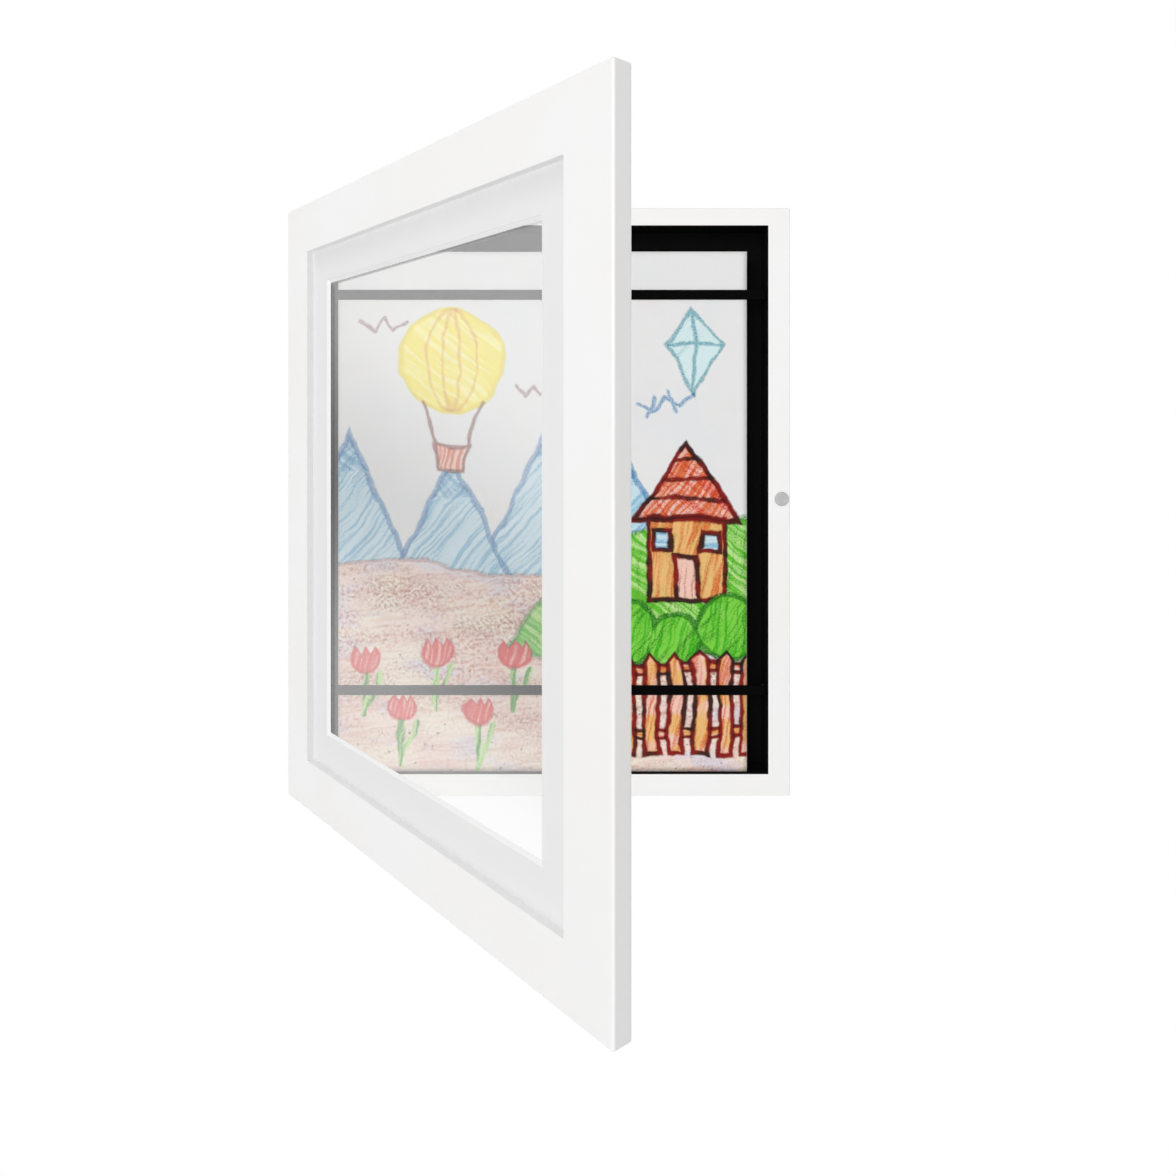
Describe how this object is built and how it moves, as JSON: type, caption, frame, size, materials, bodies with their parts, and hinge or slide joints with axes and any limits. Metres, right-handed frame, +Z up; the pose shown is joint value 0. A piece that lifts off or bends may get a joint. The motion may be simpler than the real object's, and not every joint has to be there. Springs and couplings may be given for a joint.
{
  "type": "front-opening art display frame",
  "caption": "White wall-hung display frame with a hinged picture-frame door, mat and clear sheet over a shallow black tray that stores drawings under elastic straps.",
  "frame": {"origin": "the wall hook point of the upright hanger, in the plane of the box's rear faces", "axes": "+Z up, +Y into the wall, +X to the right as seen from the front; the door swings out towards -Y"},
  "size_m": [0.2616, 0.2221, 0.3094],
  "materials": {
    "painted_wood": "satin white paint",
    "black_card": "matt black",
    "back_board": "plain hardboard",
    "mat_board": "matt pale grey",
    "clear_sheet": "polished clear",
    "paper": "plain",
    "drawing_paper": "plain, crayon drawing",
    "elastic": "woven black elastic",
    "bumper": "soft clear",
    "magnet": "nickel plated",
    "hardware_steel": "zinc plated"
  },
  "bodies": {
    "box": {"box_rail_top": "painted_wood", "box_rail_bottom": "painted_wood", "box_rail_left": "painted_wood", "box_rail_right": "painted_wood", "box_corner_nails": "hardware_steel", "tray_lining_top": "black_card", "tray_lining_bottom": "black_card", "tray_lining_left": "black_card", "tray_lining_right": "black_card", "tray_floor_card": "black_card", "back_board": "back_board", "back_board_points": "hardware_steel", "hanger_upright": "hardware_steel", "hanger_sideways": "hardware_steel", "hanger_rivets": "hardware_steel", "wall_bumpers": "bumper", "strap_upper": "elastic", "strap_lower": "elastic", "strap_staples": "hardware_steel", "stored_sheets": "paper", "sheet_on_show": "drawing_paper", "catch_magnet": "magnet", "hinge_box_leaf_upper": "hardware_steel", "hinge_box_leaf_lower": "hardware_steel", "hinge_pin_upper": "hardware_steel", "hinge_pin_lower": "hardware_steel", "hinge_box_screws": "hardware_steel"},
    "door": {"door_rail_top": "painted_wood", "door_rail_bottom": "painted_wood", "door_stile_hinge_side": "painted_wood", "door_stile_free_side": "painted_wood", "door_corner_nails": "hardware_steel", "mat": "mat_board", "glazing": "clear_sheet", "glazing_points": "hardware_steel", "catch_strike_plate": "hardware_steel", "hinge_door_leaf_upper": "hardware_steel", "hinge_door_leaf_lower": "hardware_steel", "hinge_door_screws": "hardware_steel"}
  },
  "joints": [
    {"name": "door_hinge", "type": "hinge", "parent": "box", "child": "door", "pos_m": [-0.1277, -0.0224, -0.1307], "axis": [0, 0, -1], "range_deg": [-49.6, 130.4]}
  ]
}
